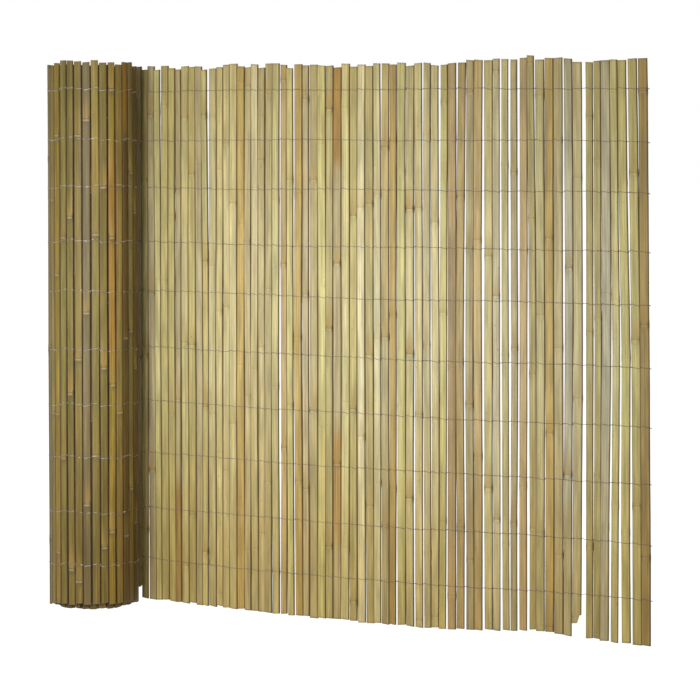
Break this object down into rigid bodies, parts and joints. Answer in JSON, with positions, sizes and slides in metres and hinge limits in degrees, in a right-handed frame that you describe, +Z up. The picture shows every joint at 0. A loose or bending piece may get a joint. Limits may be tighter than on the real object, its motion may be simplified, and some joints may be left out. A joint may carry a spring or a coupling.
{
  "type": "split bamboo screen",
  "caption": "Split bamboo screening: upright slats bound by rows of twisted wire, partly unrolled, with the rest still rolled up at one end.",
  "frame": {"origin": "on the axis of the roll, on the ground that the slats' feet stand on", "axes": "+Z up along the slats, +X from the roll towards the free end of the mat, +Y away from the viewer, to the skin side of the unrolled mat"},
  "size_m": [1.0771, 0.5107, 1.0075],
  "materials": {
    "bamboo": "split bamboo, satin skin and fibrous split faces, olive straw with darker nodes",
    "rolled_bamboo": "split bamboo, satin skin, olive brown with ochre and grey slats",
    "binding_wire": "thin galvanised wire, dull"
  },
  "bodies": {
    "root": {"rolled_turns": "rolled_bamboo", "slats_01_02": "bamboo", "slats_03_04": "bamboo", "slats_05_06": "bamboo", "slats_07_08": "bamboo", "slats_09_10": "bamboo", "slats_11_12": "bamboo", "slats_13_14": "bamboo", "slats_15_16": "bamboo", "slats_17_18": "bamboo", "slats_19_20": "bamboo", "slats_21_22": "bamboo", "slats_23_24": "bamboo", "slats_25_26": "bamboo", "slats_27_28": "bamboo", "slats_29_30": "bamboo", "slats_31_32": "bamboo", "slats_33_34": "bamboo", "slats_35_36": "bamboo", "slats_37_38": "bamboo", "slats_39_40": "bamboo", "slats_41_42": "bamboo", "slats_43_44": "bamboo", "slats_45_46": "bamboo", "slats_47_48": "bamboo", "slats_49_50": "bamboo", "slats_51_52": "bamboo", "slats_53_54": "bamboo", "slats_55_56": "bamboo", "slats_57_58": "bamboo", "slats_59_60": "bamboo", "slats_61_62": "bamboo", "slats_63_64": "bamboo", "slats_65_66": "bamboo", "wire_01_face_strand": "binding_wire", "wire_01_skin_strand": "binding_wire", "wire_02_face_strand": "binding_wire", "wire_02_skin_strand": "binding_wire", "wire_03_face_strand": "binding_wire", "wire_03_skin_strand": "binding_wire", "wire_04_face_strand": "binding_wire", "wire_04_skin_strand": "binding_wire", "wire_05_face_strand": "binding_wire", "wire_05_skin_strand": "binding_wire", "wire_06_face_strand": "binding_wire", "wire_06_skin_strand": "binding_wire", "wire_07_face_strand": "binding_wire", "wire_07_skin_strand": "binding_wire", "wire_08_face_strand": "binding_wire", "wire_08_skin_strand": "binding_wire", "wire_09_face_strand": "binding_wire", "wire_09_skin_strand": "binding_wire", "wire_10_face_strand": "binding_wire", "wire_10_skin_strand": "binding_wire"}
  },
  "joints": []
}
